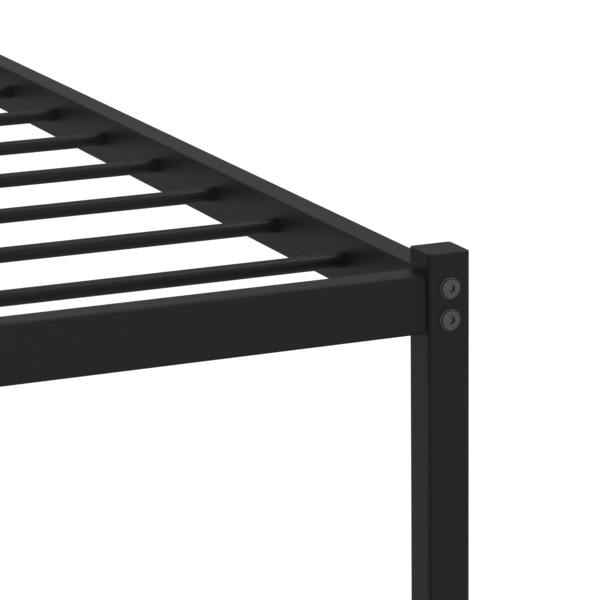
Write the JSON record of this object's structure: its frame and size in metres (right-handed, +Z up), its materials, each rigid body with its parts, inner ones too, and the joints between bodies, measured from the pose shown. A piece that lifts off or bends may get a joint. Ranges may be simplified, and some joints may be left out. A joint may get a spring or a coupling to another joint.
{
  "type": "metal bed frame",
  "caption": "Low metal bed frame: square corner posts, rectangular tube rails bolted at the corners, and round tube slats that carry a mattress held between the rails.",
  "frame": {"origin": "on the floor under the middle of the frame", "axes": "+X along the foot rail to the right as seen from the foot, +Y from the foot end to the head end, +Z up"},
  "size_m": [0.96, 2.0644, 0.304],
  "materials": {
    "powder_coat": "satin black powder coat on steel tube",
    "bolt_steel": "blackened steel",
    "bare_steel": "bare drawn steel",
    "glide_plastic": "matte black moulded plastic"
  },
  "bodies": {
    "root": {"foot_rail": "powder_coat", "head_rail": "powder_coat", "post_foot_left": "powder_coat", "post_cap_foot_left": "powder_coat", "glide_foot_left": "glide_plastic", "bolt_foot_left_upper": "bolt_steel", "bolt_foot_left_lower": "bolt_steel", "rail_block_foot_left": "bare_steel", "post_foot_right": "powder_coat", "post_cap_foot_right": "powder_coat", "glide_foot_right": "glide_plastic", "bolt_foot_right_upper": "bolt_steel", "bolt_foot_right_lower": "bolt_steel", "rail_block_foot_right": "bare_steel", "post_head_left": "powder_coat", "post_cap_head_left": "powder_coat", "glide_head_left": "glide_plastic", "bolt_head_left_upper": "bolt_steel", "bolt_head_left_lower": "bolt_steel", "rail_block_head_left": "bare_steel", "post_head_right": "powder_coat", "post_cap_head_right": "powder_coat", "glide_head_right": "glide_plastic", "bolt_head_right_upper": "bolt_steel", "bolt_head_right_lower": "bolt_steel", "rail_block_head_right": "bare_steel", "side_rail_left_foot": "powder_coat", "mid_screw_left_foot": "bolt_steel", "side_rail_left_head": "powder_coat", "mid_screw_left_head": "bolt_steel", "rail_joiner_left": "bare_steel", "mid_plate_left": "powder_coat", "mid_leg_left": "powder_coat", "mid_glide_left": "glide_plastic", "side_rail_right_foot": "powder_coat", "mid_screw_right_foot": "bolt_steel", "side_rail_right_head": "powder_coat", "mid_screw_right_head": "bolt_steel", "rail_joiner_right": "bare_steel", "mid_plate_right": "powder_coat", "mid_leg_right": "powder_coat", "mid_glide_right": "glide_plastic", "slat_01": "powder_coat", "slat_02": "powder_coat", "slat_03": "powder_coat", "slat_04": "powder_coat", "slat_05": "powder_coat", "slat_06": "powder_coat", "slat_07": "powder_coat", "slat_08": "powder_coat", "slat_09": "powder_coat", "slat_10": "powder_coat", "slat_11": "powder_coat", "slat_12": "powder_coat", "slat_13": "powder_coat", "slat_14": "powder_coat", "slat_15": "powder_coat", "slat_16": "powder_coat"}
  },
  "joints": []
}
